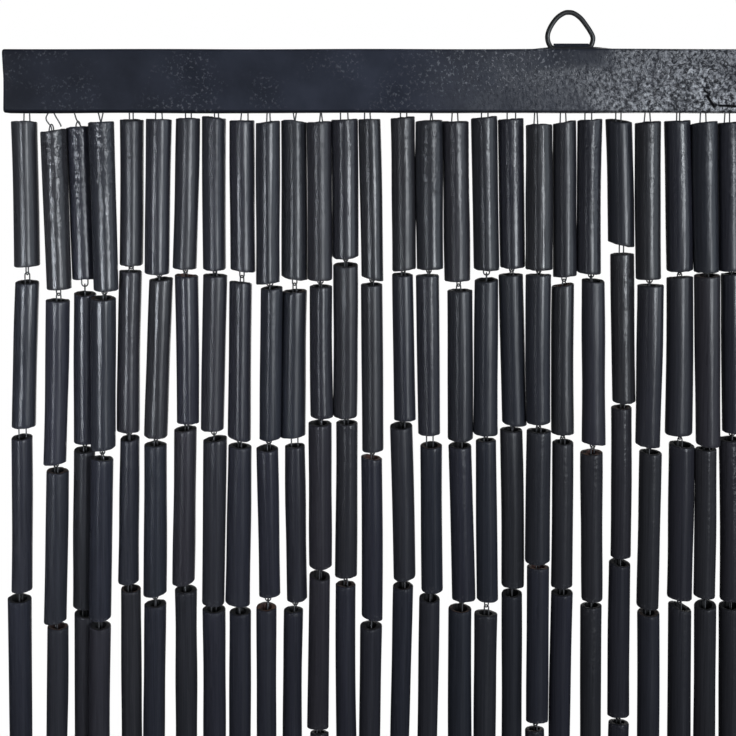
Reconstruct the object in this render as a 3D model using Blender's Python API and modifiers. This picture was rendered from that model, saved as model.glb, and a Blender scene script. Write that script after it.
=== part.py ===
"""Bamboo fly screen curtain: strands of short bamboo tubes that hang on wire from a flat rail.

Units are metres and +Z is up. The curtain's front faces -Y. The origin is midway between the
two hanging rings, in their plane, at the height where a hook bears inside their tops.
"""

import math
import random

import bmesh
import bpy

MM = 0.001
GAP = 0.3 * MM

# The whole curtain
CURTAIN_WIDTH = 900 * MM
CURTAIN_DROP = 2000 * MM

# Head rail
RAIL_TOP = -14.2 * MM
RAIL_HEIGHT = 25 * MM
RAIL_DEPTH = 12 * MM
RAIL_EDGE = 1.2 * MM
STRIP_HEIGHT = 3 * MM
RAIL_BOTTOM = RAIL_TOP - RAIL_HEIGHT

# Hanging rings, bent from wire, and the straps that hold them
RING_WIRE = 2.0 * MM
RING_PLACE = 229 * MM
RING_STEPS = 2
RING_WIRE_STEPS = 2
STRAP_WIDTH = 14 * MM
STRAP_THICKNESS = 0.8 * MM
STRAP_LENGTH = 20 * MM
STRAP_TAIL = 12 * MM
FOLD_STEP = math.radians(18)
FOLD_STEPS = 10
TUCK_STEPS = 3

# Planes, front to back: the strands and the rail lie in front of the rings
EYE_INNER = RING_WIRE / 2 + GAP
EYE_OUTER = EYE_INNER + STRAP_THICKNESS
RAIL_BACK = -(EYE_OUTER + GAP)
STRAND_PLANE = RAIL_BACK - RAIL_DEPTH / 2

# Strands
STRANDS = 82
FIRST_PLACE = 9.6 * MM
PITCH = 10.86 * MM
PANELS = 4
ROWS = 4
TUBE_LENGTHS = (59.5 * MM, 62.5 * MM, 61.5 * MM, 62 * MM)
TUBE_WIDTHS = (9.5 * MM, 8.95 * MM, 8.5 * MM, 8.15 * MM)
FIRST_DROP = 3.0 * MM
LOOSE_STEP = 2.4 * MM
NECK = 2.4 * MM
PLAIN_WIDTH = 8.0 * MM
RAGGED_ENDS = 8 * MM
SIDES = 4
SEED = 29

# The strands splay a little from this line as they hang, and the tubes lower down are longer
SPLAY_LINE = 147.2 * MM
SPLAY_HALF = 150 * MM
SPLAY_FADE = 0.6
SPLAY = 0.168
FIRST_LENGTHS = 0.99

# The strands by the left end, one row each, in millimetres: how far across from the rail's end
# each tube's top and foot lie, how far they hang below the rail, and how wide the tubes are.
# Tubes go top, foot, top, foot down the strand, and the fourth has its usual length.
OWN_WAY = [
    ((9.6, 10.8, 11.0, 9.6, 8.8, 8.8, 7.8, 8.4),
     (3.2, 61.4, 67.0, 125.6, 128.8, 191.2, 193.2), (10.0, 9.2, 8.0, 8.8)),
    ((21.6, 24.0, 23.4, 22.2, 23.2, 22.2, 23.4, 22.6),
     (6.8, 70.4, 74.4, 140.0, 142.0, 203.2, 204.2), (9.4, 8.9, 8.6, 8.0)),
    ((31.2, 33.6, 33.6, 33.6, 33.4, 33.0, 33.6, 33.6),
     (5.4, 66.6, 71.6, 132.4, 134.4, 198.4, 200.0), (9.2, 8.8, 8.4, 8.0)),
    ((40.8, 42.8, 41.6, 41.6, 41.2, 40.4, 40.6, 40.2),
     (3.6, 70.8, 73.0, 134.0, 137.2, 201.6, 203.4), (9.8, 9.6, 8.8, 8.4)),
    ((52.6, 52.4, 52.2, 51.2, 51.8, 51.2, 52.2, 52.6),
     (2.4, 61.0, 63.0, 127.6, 129.2, 188.0, 189.6), (9.0, 8.6, 7.8, 7.8)),
    ((63.6, 62.8, 64.6, 62.4, 62.2, 62.0, 62.2, 61.6),
     (2.4, 64.4, 65.8, 129.6, 131.8, 192.6, 195.4), (9.8, 9.0, 8.8, 8.2)),
    ((75.2, 73.8, 74.6, 75.2, 74.2, 73.4, 74.4, 74.6),
     (2.0, 62.4, 64.6, 124.0, 125.6, 188.0, 189.6), (9.4, 8.7, 8.8, 8.2)),
    ((85.6, 85.8, 86.2, 85.0, 86.2, 85.4, 85.6, 85.8),
     (1.6, 62.8, 64.4, 126.8, 129.6, 196.4, 197.4), (9.2, 9.2, 8.8, 8.6)),
    ((96.8, 97.2, 96.4, 95.8, 96.0, 95.0, 96.2, 96.0),
     (2.8, 63.2, 67.6, 130.4, 132.4, 196.4, 198.4), (9.8, 8.8, 9.0, 8.2)),
    ((107.2, 107.2, 108.8, 108.2, 107.0, 108.0, 106.6, 106.7),
     (3.4, 68.0, 69.2, 130.2, 132.8, 192.6, 196.0), (9.2, 8.4, 8.1, 7.6)),
    ((117.6, 117.8, 117.8, 117.0, 117.9, 118.8, 117.3, 116.8),
     (3.0, 66.4, 70.8, 129.6, 132.8, 195.2, 198.4), (10.2, 10.0, 7.9, 7.4)),
    ((127.6, 128.0, 128.4, 128.8, 128.0, 128.2, 128.0, 127.2),
     (3.4, 66.8, 68.8, 121.6, 123.2, 181.4, 183.4), (9.4, 8.7, 8.8, 8.0)),
    ((137.8, 138.2, 138.4, 138.2, 138.8, 138.4, 138.2, 138.5),
     (2.4, 58.0, 59.8, 121.6, 123.2, 185.2, 187.8), (10.2, 9.2, 8.6, 7.6)),
    ((147.8, 149.0, 148.7, 149.2, 148.6, 148.8, 148.4, 147.6),
     (2.4, 66.4, 68.0, 135.2, 137.2, 202.0, 204.0), (8.6, 8.2, 8.2, 8.2)),
    ((161.0, 161.6, 161.0, 162.0, 160.4, 161.8, 161.2, 159.8),
     (1.6, 62.8, 64.0, 122.8, 124.0, 186.2, 188.0), (9.2, 8.2, 8.6, 7.5)),
    ((171.6, 172.0, 171.0, 171.7, 172.4, 172.8, 171.8, 170.8),
     (2.8, 62.4, 64.6, 128.4, 131.8, 191.0, 192.6), (10.2, 8.7, 8.3, 7.8)),
    ((182.2, 183.0, 184.0, 184.2, 184.0, 185.6, 184.0, 184.0),
     (3.2, 67.2, 70.6, 130.8, 132.2, 194.8, 197.2), (10.4, 9.7, 8.9, 8.6)),
    ((193.6, 194.6, 194.6, 194.2, 194.4, 195.0, 194.2, 193.6),
     (1.6, 62.8, 66.0, 128.6, 130.4, 194.8, 199.6), (10.0, 9.2, 8.1, 8.6)),
    ((204.4, 205.2, 204.4, 205.9, 204.5, 205.1, 204.8, 204.7),
     (2.2, 62.0, 64.4, 124.8, 126.2, 189.6, 191.4), (9.8, 9.5, 8.4, 8.0)),
    ((215.4, 215.4, 215.2, 215.2, 215.4, 214.8, 215.0, 214.6),
     (4.4, 62.6, 64.4, 123.8, 126.2, 179.4, 180.6), (10.2, 9.6, 9.2, 8.5)),
    ((225.8, 226.0, 225.2, 225.1, 225.1, 224.6, 224.8, 223.6),
     (3.6, 65.4, 68.4, 128.3, 130.8, 189.4, 190.8), (9.0, 8.6, 7.9, 8.3)),
    ((236.0, 235.6, 237.3, 237.5, 236.6, 236.8, 236.4, 236.2),
     (2.6, 64.2, 66.4, 132.2, 135.0, 194.8, 196.4), (9.4, 9.1, 8.4, 8.1)),
    ((247.6, 248.6, 249.0, 249.7, 248.7, 248.4, 248.0, 247.4),
     (2.4, 52.8, 56.2, 115.8, 117.2, 177.8, 179.2), (10.2, 9.2, 8.0, 8.3)),
    ((259.0, 259.2, 260.0, 258.8, 260.0, 258.7, 259.1, 258.9),
     (3.4, 66.4, 68.4, 133.0, 134.8, 197.4, 198.4), (10.2, 9.6, 8.7, 8.6)),
    ((271.0, 272.0, 271.9, 271.4, 272.8, 271.8, 272.0, 271.6),
     (3.0, 63.2, 65.5, 128.6, 131.8, 194.2, 196.8), (10.2, 10.0, 9.6, 8.9)),
    ((281.6, 282.4, 282.6, 283.0, 282.0, 281.4, 281.9, 281.4),
     (3.6, 63.6, 64.2, 132.8, 133.6, 193.2, 195.2), (10.0, 9.7, 8.2, 8.5)),
    ((292.0, 292.4, 293.6, 294.0, 292.4, 292.8, 292.4, 292.4),
     (3.6, 63.2, 64.2, 128.0, 130.0, 195.0, 196.4), (10.0, 9.6, 8.8, 8.8)),
]

PAINT = (0.022, 0.026, 0.036)
TUBE_PAINT = (0.020, 0.021, 0.026)
STEEL = (0.10, 0.10, 0.11)


def clear_scene():
    for thing in list(bpy.data.objects):
        bpy.data.objects.remove(thing, do_unlink=True)


def new_collection(name):
    collection = bpy.data.collections.new(name)
    bpy.context.scene.collection.children.link(collection)
    return collection


def make_material(name, colour, roughness, metallic):
    material = bpy.data.materials.new(name)
    material.use_nodes = True
    shader = material.node_tree.nodes["Principled BSDF"]
    shader.inputs["Base Color"].default_value = (*colour, 1.0)
    shader.inputs["Roughness"].default_value = roughness
    shader.inputs["Metallic"].default_value = metallic
    return material


def add_object(name, mesh, collection, material=None):
    thing = bpy.data.objects.new(name, mesh)
    collection.objects.link(thing)
    if material:
        thing.data.materials.append(material)
    return thing


def box_mesh(name, low, high):
    """A box between two corners, from a unit cube."""
    bm = bmesh.new()
    bmesh.ops.create_cube(bm, size=1.0)
    for vert in bm.verts:
        for axis in range(3):
            middle = (low[axis] + high[axis]) / 2
            vert.co[axis] = middle + vert.co[axis] * (high[axis] - low[axis])
    mesh = bpy.data.meshes.new(name)
    bm.to_mesh(mesh)
    bm.free()
    return mesh


# Where the strands hang

def ordinary_strand(dice, place):
    """A strand beyond the table: its tubes stray a little to each side of its own line."""
    line = place / MM
    across = []
    drops = []
    widths = []
    drop = FIRST_DROP / MM + dice.uniform(-1.2, 1.4)
    sway = dice.uniform(-0.5, 0.5)
    for row in range(ROWS):
        across.append(line + sway)
        drops.append(drop)
        sway = dice.uniform(-0.9, 0.9)
        drop += TUBE_LENGTHS[row] / MM + dice.uniform(-3.0, 3.0)
        across.append(line + sway)
        drops.append(drop)
        drop += LOOSE_STEP / MM + dice.uniform(-1.6, 2.0)
        sway += dice.uniform(-0.6, 0.6)
        widths.append(TUBE_WIDTHS[row] / MM + dice.uniform(-0.6, 0.6))
    return tuple(across), tuple(drops[:-1]), tuple(widths)


def hang(across, drop):
    """Where a point of a strand comes to hang: x, z, and how much wider things are there."""
    splay = 1.0 / (1.0 - SPLAY * drop)
    reach = across - SPLAY_LINE
    if reach > SPLAY_HALF:
        reach = max(0.0, SPLAY_HALF - (reach - SPLAY_HALF) * SPLAY_FADE)
    x = -CURTAIN_WIDTH / 2 + across + reach * (splay - 1.0)
    z = RAIL_BOTTOM - FIRST_LENGTHS * drop * splay
    return x, z, splay


def strand_tubes(across, drops, widths):
    """The tubes of one strand as dictionaries, from the top down."""
    feet = drops + (drops[-1] + TUBE_LENGTHS[-1] / MM,)
    tubes = []
    for row, width in enumerate(widths):
        top_x, top_z, wider = hang(across[2 * row] * MM, feet[2 * row] * MM)
        foot_x, foot_z, wider = hang(across[2 * row + 1] * MM, feet[2 * row + 1] * MM)
        tubes.append({
            "top": (top_x, top_z),
            "foot": (foot_x, foot_z),
            "radius": width * MM * wider / 2,
        })
    return tubes


def across_at(tube, z):
    """The tube's middle at height z."""
    share = (tube["top"][1] - z) / (tube["top"][1] - tube["foot"][1])
    return tube["top"][0] + (tube["foot"][0] - tube["top"][0]) * share


def crowding(tube, other):
    """How far apart in depth two tubes of neighbouring strands have to hang."""
    high = min(tube["top"][1], other["top"][1])
    low = max(tube["foot"][1], other["foot"][1])
    if low >= high:
        return 0.0
    apart = tube["radius"] + other["radius"] + GAP
    nearest = min(abs(across_at(other, z) - across_at(tube, z)) for z in (low, high))
    return math.sqrt(max(0.0, apart ** 2 - nearest ** 2))


def lay_out_strands():
    """Every strand's tubes, with a depth that keeps crowded neighbours apart, in turn front and back."""
    dice = random.Random(SEED)
    strands = []
    for index in range(STRANDS):
        place = FIRST_PLACE + index * PITCH
        ordinary = ordinary_strand(dice, place)
        own = OWN_WAY[index] if index < len(OWN_WAY) else ordinary
        end = -CURTAIN_DROP + dice.uniform(0.0, RAGGED_ENDS)
        strands.append({
            "tubes": strand_tubes(*own),
            "line": -CURTAIN_WIDTH / 2 + place,
            "end": end,
            "push": 0.0,
        })
    for left, right in zip(strands, strands[1:]):
        needed = max(crowding(a, b) for a in left["tubes"] for b in right["tubes"])
        left["push"] = max(left["push"], needed / 2)
        right["push"] = max(right["push"], needed / 2)
    for index, strand in enumerate(strands):
        side = 1.0 if index % 2 == 0 else -1.0
        strand["depth"] = STRAND_PLANE + side * strand["push"]
    return strands


def strand_sections(strand):
    """Sections down one strand as x, z and radius: a neck into the rail, tubes and necks, then plain."""
    neck = NECK / 2
    first = strand["tubes"][0]
    sections = [
        (first["top"][0], RAIL_BOTTOM + STRIP_HEIGHT / 2, neck),
        (first["top"][0], first["top"][1] + GAP, neck),
    ]
    for upper, lower in zip(strand["tubes"], strand["tubes"][1:] + [None]):
        sections.append((*upper["top"], upper["radius"]))
        sections.append((*upper["foot"], upper["radius"]))
        if lower:
            middle_x = (upper["foot"][0] + lower["top"][0]) / 2
            middle_z = (upper["foot"][1] + lower["top"][1]) / 2
            sections.append((middle_x, middle_z, neck))
    last = strand["tubes"][-1]
    sections.append((last["foot"][0], last["foot"][1] - LOOSE_STEP, PLAIN_WIDTH / 2))
    sections.append((strand["line"], strand["end"], PLAIN_WIDTH / 2))
    return sections


def add_strand(bm, strand):
    """Loft one strand through its four-cornered sections."""
    rings = []
    for x, z, radius in strand_sections(strand):
        ring = []
        for corner in range(SIDES):
            angle = 2 * math.pi * corner / SIDES
            point = (x + radius * math.cos(angle), strand["depth"] + radius * math.sin(angle), z)
            ring.append(bm.verts.new(point))
        rings.append(ring)
    for upper, lower in zip(rings, rings[1:]):
        for corner in range(SIDES):
            following = (corner + 1) % SIDES
            bm.faces.new((upper[corner], lower[corner], lower[following], upper[following]))
    bm.faces.new(rings[0])
    bm.faces.new(list(reversed(rings[-1])))


def add_strand_panel(number, strands, left, right, parts, tools, material):
    """A length of the rail's lowest strip with its strands rooted in it."""
    low = (left, RAIL_BACK - RAIL_DEPTH, RAIL_BOTTOM)
    high = (right, RAIL_BACK, RAIL_BOTTOM + STRIP_HEIGHT)
    name = f"strand_panel_{number}"
    panel = add_object(name, box_mesh(name, low, high), parts, material)

    bm = bmesh.new()
    for strand in strands:
        add_strand(bm, strand)
    bmesh.ops.recalc_face_normals(bm, faces=bm.faces)
    mesh = bpy.data.meshes.new(name + "_strands")
    bm.to_mesh(mesh)
    bm.free()
    rooted = add_object(name + "_strands", mesh, tools)
    rooted.hide_render = True
    rooted.display_type = "WIRE"

    join = panel.modifiers.new("root the strands", "BOOLEAN")
    join.operation = "UNION"
    join.solver = "EXACT"
    join.object = rooted


def panel_edges(strands):
    """Where the strip is cut into panels, each time midway between two strands."""
    edges = [-CURTAIN_WIDTH / 2]
    for number in range(1, PANELS):
        index = round(STRANDS * number / PANELS)
        edges.append((strands[index - 1]["tubes"][0]["top"][0] + strands[index]["tubes"][0]["top"][0]) / 2)
    edges.append(CURTAIN_WIDTH / 2)
    return edges


def add_strand_panels(parts, tools, material):
    strands = lay_out_strands()
    edges = panel_edges(strands)
    for number, (left, right) in enumerate(zip(edges, edges[1:])):
        mine = [s for s in strands if left <= s["tubes"][0]["top"][0] < right]
        start = left if number == 0 else left + GAP / 2
        stop = right if number == PANELS - 1 else right - GAP / 2
        add_strand_panel(number + 1, mine, start, stop, parts, tools, material)


# Head rail

def add_rail(parts, material):
    half = CURTAIN_WIDTH / 2
    low = (-half, RAIL_BACK - RAIL_DEPTH, RAIL_BOTTOM + STRIP_HEIGHT + GAP)
    high = (half, RAIL_BACK, RAIL_TOP)
    rail = add_object("head_rail", box_mesh("head_rail", low, high), parts, material)
    edge = rail.modifiers.new("eased edges", "BEVEL")
    edge.width = RAIL_EDGE
    edge.segments = 2


# Hanging rings and straps

def ring_route():
    """The left ring's wire, as it was bent: x and z from the middle of its straight bar, in millimetres."""
    return [
        (-7.2, 0.0), (-8.7, 0.6), (-9.3, 2.0), (-9.3, 4.8), (-8.7, 7.8), (-7.2, 10.7), (-4.8, 13.1),
        (-1.6, 14.4), (1.6, 13.6), (4.6, 11.2), (7.2, 8.2), (8.8, 5.2), (9.0, 2.0), (8.4, 0.6), (7.0, 0.0),
    ]


def ring_top():
    return max(z for x, z in ring_route()) * MM


def smooth_loop(points, steps):
    """Points on a closed smooth curve through the given ones."""
    count = len(points)
    smooth = []
    for index in range(count):
        before, start, stop, after = (points[(index + k) % count] for k in (-1, 0, 1, 2))
        for step in range(steps):
            t = step / steps
            smooth.append(tuple(
                0.5 * (2 * b + (c - a) * t + (2 * a - 5 * b + 4 * c - d) * t ** 2
                       + (3 * b - a - 3 * c + d) * t ** 3)
                for a, b, c, d in zip(before, start, stop, after)
            ))
    return smooth


def bar_height():
    """The height of a ring's straight bar: the ring's inner top is at the origin's height."""
    return RING_WIRE / 2 - ring_top()


def add_ring(name, place, mirror, parts, material):
    curve = bpy.data.curves.new(name, "CURVE")
    curve.dimensions = "3D"
    curve.bevel_depth = RING_WIRE / 2
    curve.bevel_resolution = RING_WIRE_STEPS
    points = smooth_loop(ring_route(), RING_STEPS)
    spline = curve.splines.new("POLY")
    spline.points.add(len(points) - 1)
    for point, (x, z) in zip(spline.points, points):
        point.co = (mirror * x * MM, 0.0, z * MM, 1.0)
    spline.use_cyclic_u = True
    ring = add_object(name, curve, parts, material)
    ring.location = (place, 0.0, bar_height())


def strap_outline():
    """The folded strap in y and z about the ring's bar: up behind the rail, over the bar, and down."""
    tail_front = -EYE_INNER + GAP
    tail_back = tail_front + STRAP_THICKNESS
    fold = [math.pi - FOLD_STEP * step for step in range(FOLD_STEPS + TUCK_STEPS + 1)]
    outline = [(-EYE_OUTER, -STRAP_LENGTH)]
    outline += [(EYE_OUTER * math.cos(a), EYE_OUTER * math.sin(a)) for a in fold]
    outline += [(tail_back, -EYE_OUTER - STRAP_THICKNESS), (tail_back, -STRAP_TAIL)]
    outline += [(tail_front, -STRAP_TAIL), (tail_front, -EYE_OUTER)]
    outline += [(EYE_INNER * math.cos(a), EYE_INNER * math.sin(a)) for a in reversed(fold)]
    outline += [(-EYE_INNER, -STRAP_LENGTH)]
    return outline


def add_strap(name, place, parts, material):
    bm = bmesh.new()
    near = [bm.verts.new((-STRAP_WIDTH / 2, y, z)) for y, z in strap_outline()]
    face = bm.faces.new(near)
    sweep = bmesh.ops.extrude_face_region(bm, geom=[face])
    moved = [item for item in sweep["geom"] if isinstance(item, bmesh.types.BMVert)]
    bmesh.ops.translate(bm, verts=moved, vec=(STRAP_WIDTH, 0.0, 0.0))
    bmesh.ops.recalc_face_normals(bm, faces=bm.faces)
    mesh = bpy.data.meshes.new(name)
    bm.to_mesh(mesh)
    bm.free()
    strap = add_object(name, mesh, parts, material)
    strap.location = (place, 0.0, bar_height())


def build():
    clear_scene()
    parts = new_collection("bamboo_fly_screen_curtain")
    tools = new_collection("joined_shapes")
    rail_paint = make_material("rail_paint", PAINT, 0.45, 0.0)
    tube_paint = make_material("tube_paint", TUBE_PAINT, 0.4, 0.0)
    ring_steel = make_material("ring_steel", STEEL, 0.4, 1.0)
    strap_steel = make_material("strap_steel", STEEL, 0.5, 1.0)

    add_rail(parts, rail_paint)
    add_strand_panels(parts, tools, tube_paint)
    half = CURTAIN_WIDTH / 2
    for side, mirror in (("left", 1.0), ("right", -1.0)):
        place = mirror * (RING_PLACE - half)
        add_ring(f"hanger_ring_{side}", place, mirror, parts, ring_steel)
        add_strap(f"hanger_strap_{side}", place, parts, strap_steel)


build()
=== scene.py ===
"""Looks of the bamboo fly screen curtain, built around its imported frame.

Units are metres and +Z is up. The curtain's front faces -Y, and the origin is midway between
the two hanging rings, where hooks bear inside their tops.
"""

import math
import random

import bmesh
import bpy
import numpy as np
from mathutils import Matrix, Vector

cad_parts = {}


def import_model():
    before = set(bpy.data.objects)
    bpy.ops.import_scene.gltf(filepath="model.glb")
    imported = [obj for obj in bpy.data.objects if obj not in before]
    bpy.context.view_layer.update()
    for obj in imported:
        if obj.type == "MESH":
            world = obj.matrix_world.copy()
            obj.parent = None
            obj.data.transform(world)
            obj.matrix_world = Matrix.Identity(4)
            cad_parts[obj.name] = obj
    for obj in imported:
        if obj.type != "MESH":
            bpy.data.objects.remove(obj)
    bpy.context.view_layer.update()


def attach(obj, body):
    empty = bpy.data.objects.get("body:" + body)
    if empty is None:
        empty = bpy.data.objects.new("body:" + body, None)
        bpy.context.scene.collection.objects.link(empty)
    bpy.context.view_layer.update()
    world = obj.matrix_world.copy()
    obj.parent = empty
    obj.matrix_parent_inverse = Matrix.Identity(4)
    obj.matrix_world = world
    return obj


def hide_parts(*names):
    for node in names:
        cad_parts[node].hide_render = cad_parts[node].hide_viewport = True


MM = 0.001
SEED = 29

# The curtain's sizes, as its solids have them
CURTAIN_WIDTH = 900 * MM
CURTAIN_DROP = 2000 * MM
RAIL_TOP = -14.2 * MM
RAIL_HEIGHT = 25 * MM
RAIL_DEPTH = 12 * MM
RAIL_BOTTOM = RAIL_TOP - RAIL_HEIGHT
GAP = 0.3 * MM
RING_WIRE = 2.0 * MM
RING_PLACE = 229 * MM
STRAP_WIDTH = 14 * MM
STRAP_THICKNESS = 0.8 * MM
STRAP_LENGTH = 20 * MM
STRAP_TAIL = 12 * MM
FOLD_STEP = math.radians(9)
FOLD_STEPS = 20
TUCK_STEPS = 6
EYE_INNER = RING_WIRE / 2 + GAP
EYE_OUTER = EYE_INNER + STRAP_THICKNESS
RAIL_BACK = -(EYE_OUTER + GAP)
RAIL_FRONT = RAIL_BACK - RAIL_DEPTH
STRAND_PLANE = RAIL_BACK - RAIL_DEPTH / 2

# Strands
STRANDS = 82
FIRST_PLACE = 9.6 * MM
PITCH = 10.86 * MM
PANELS = 4
ROWS = 4
LOWER_ROWS = 27
TUBE_LENGTHS = (59.5 * MM, 62.5 * MM, 61.5 * MM, 62 * MM)
TUBE_WIDTHS = (9.5 * MM, 8.95 * MM, 8.5 * MM, 8.15 * MM)
LOWER_WIDTH = 8.2 * MM
FIRST_DROP = 3.0 * MM
LOOSE_STEP = 2.4 * MM
RAGGED_ENDS = 8 * MM
SPLAY_LINE = 147.2 * MM
SPLAY_HALF = 150 * MM
SPLAY_FADE = 0.6
SPLAY = 0.168
FIRST_LENGTHS = 0.99
STRAIGHTEN_ROWS = 6
CLOSE_STRANDS = 29
CLOSE_ROWS = 5

# How far the strands beyond the table and the lower rows stray, in millimetres
ROOT_SWAY = (-0.5, 0.5)
SWAY = (-0.9, 0.9)
STEP_SWAY = (-0.6, 0.6)
FIRST_DROPS = (-1.2, 1.4)
STEPS = (-1.6, 2.0)
LOWER_STEPS = (-1.6, 1.8)
LENGTHS = (-3.0, 3.0)
LOWER_LENGTHS = (0.95, 1.05)
WIDTHS = (-0.6, 0.6)

# The strands by the left end, one row each, in millimetres: how far across from the rail's end
# each tube's top and foot lie, how far they hang below the rail, and how wide the tubes are.
# Tubes go top, foot, top, foot down the strand, and the fourth has its usual length.
OWN_WAY = [
    ((9.6, 10.8, 11, 9.6, 8.8, 8.8, 7.8, 8.4),
     (3.2, 61.4, 67, 125.6, 128.8, 191.2, 193.2), (10, 9.2, 8, 8.8)),
    ((21.6, 24, 23.4, 22.2, 23.2, 22.2, 23.4, 22.6),
     (6.8, 70.4, 74.4, 140, 142, 203.2, 204.2), (9.4, 8.9, 8.6, 8)),
    ((31, 33.4, 33.6, 33.6, 33.4, 33, 33.6, 33.6),
     (5.4, 66.6, 71.6, 132.4, 134.4, 198.4, 200), (9.6, 8.8, 8.4, 8)),
    ((40.8, 42.8, 41.6, 41.6, 41.2, 40.4, 40.6, 40.2),
     (3.6, 70.8, 73, 134, 137.2, 201.6, 203.4), (9.8, 9.6, 8.8, 8.4)),
    ((52.6, 52.4, 52.2, 51.2, 51.8, 51.2, 52.2, 52.6),
     (2.4, 61, 63, 127.6, 129.2, 188, 189.6), (9, 8.6, 7.8, 7.8)),
    ((63.6, 62.8, 64.6, 62.4, 62.2, 62, 62.2, 61.6),
     (2.4, 64.4, 65.8, 129.6, 131.8, 192.6, 195.4), (9.8, 9, 8.8, 8.2)),
    ((75.2, 73.8, 74.6, 75.2, 74.2, 73.4, 74.4, 74.6),
     (2, 62.4, 64.6, 124, 125.6, 188, 189.6), (9.4, 8.7, 8.8, 8.2)),
    ((85.6, 85.8, 86.2, 85, 86.2, 85.4, 85.6, 85.8),
     (1.6, 62.8, 64.4, 126.8, 129.6, 196.4, 197.4), (9.2, 9.2, 8.8, 8.6)),
    ((96.8, 97.2, 96.4, 95.8, 96, 95, 96.2, 96),
     (2.8, 63.2, 67.6, 130.4, 132.4, 196.4, 198.4), (9.8, 8.8, 9, 8.2)),
    ((107.2, 107.2, 108.8, 108.2, 107, 108, 106.6, 106.7),
     (3.4, 68, 69.2, 130.2, 132.8, 192.6, 196), (9.2, 8.4, 8.1, 7.6)),
    ((117.6, 117.8, 117.8, 117, 117.9, 118.8, 117.3, 116.8),
     (3, 66.4, 70.8, 129.6, 132.8, 195.2, 198.4), (10.2, 10, 7.9, 7.4)),
    ((127.6, 128, 128.4, 128.8, 128, 128.2, 128, 127.2),
     (3.4, 66.8, 68.8, 121.6, 123.2, 181.4, 183.4), (9.4, 8.7, 8.8, 8)),
    ((137.8, 138.2, 138.4, 138.2, 138.8, 138.4, 138.2, 138.5),
     (2.4, 58, 59.8, 121.6, 123.2, 185.2, 187.8), (10.2, 9.2, 8.6, 7.6)),
    ((147.8, 149, 148.7, 149.2, 148.6, 148.8, 148.4, 147.6),
     (2.4, 66.4, 68, 135.2, 137.2, 202, 204), (8.6, 8.2, 8.2, 8.2)),
    ((161, 161.6, 161, 162, 160.4, 161.8, 161.2, 159.8),
     (1.6, 62.8, 64, 122.8, 124, 186.2, 188), (9.2, 8.2, 8.6, 7.5)),
    ((171.6, 172, 171, 171.7, 172.4, 172.8, 171.8, 170.8),
     (2.8, 62.4, 64.6, 128.4, 131.8, 191, 192.6), (10.2, 8.7, 8.3, 7.8)),
    ((182.2, 183, 184, 184.2, 184, 185.6, 184, 184),
     (3.2, 67.2, 70.6, 130.8, 132.2, 194.8, 197.2), (10.4, 9.7, 8.9, 8.6)),
    ((193.6, 194.6, 194.6, 194.2, 194.4, 195, 194.2, 193.6),
     (1.6, 62.8, 66, 128.6, 130.4, 194.8, 199.6), (10, 9.2, 8.1, 8.6)),
    ((204.4, 205.2, 204.4, 205.9, 204.5, 205.1, 204.8, 204.7),
     (2.2, 62, 64.4, 124.8, 126.2, 189.6, 191.4), (9.8, 9.5, 8.4, 8)),
    ((215.4, 215.4, 215.2, 215.2, 215.4, 214.8, 215, 214.6),
     (4.4, 62.6, 64.4, 123.8, 126.2, 179.4, 180.6), (10.2, 9.6, 9.2, 8.5)),
    ((225.8, 226, 225.2, 225.1, 225.1, 224.6, 224.8, 223.6),
     (3.6, 65.4, 68.4, 128.3, 130.8, 189.4, 190.8), (9, 8.6, 7.9, 8.3)),
    ((236, 235.6, 237.3, 237.5, 236.6, 236.8, 236.4, 236.2),
     (2.6, 64.2, 66.4, 132.2, 135, 194.8, 196.4), (9.4, 9.1, 8.4, 8.1)),
    ((247.6, 248.6, 249, 249.7, 248.7, 248.4, 248, 247.4),
     (2.4, 52.8, 56.2, 115.8, 117.2, 177.8, 179.2), (10.2, 9.2, 8, 8.3)),
    ((259, 259.2, 260, 258.8, 260, 258.7, 259.1, 258.9),
     (3.4, 66.4, 68.4, 133, 134.8, 197.4, 198.4), (10.2, 9.6, 8.7, 8.6)),
    ((271, 272, 271.9, 271.4, 272.8, 271.8, 272, 271.6),
     (3, 63.2, 65.5, 128.6, 131.8, 194.2, 196.8), (10.2, 10, 9.6, 8.9)),
    ((281.6, 282.4, 282.6, 283, 282, 281.4, 281.9, 281.4),
     (3.6, 63.6, 64.2, 132.8, 133.6, 193.2, 195.2), (10, 9.7, 8.2, 8.5)),
    ((292, 292.4, 293.6, 294, 292.4, 292.8, 292.4, 292.4),
     (3.6, 63.2, 64.2, 128, 130, 195, 196.4), (10, 9.6, 8.8, 8.8)),
]

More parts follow.
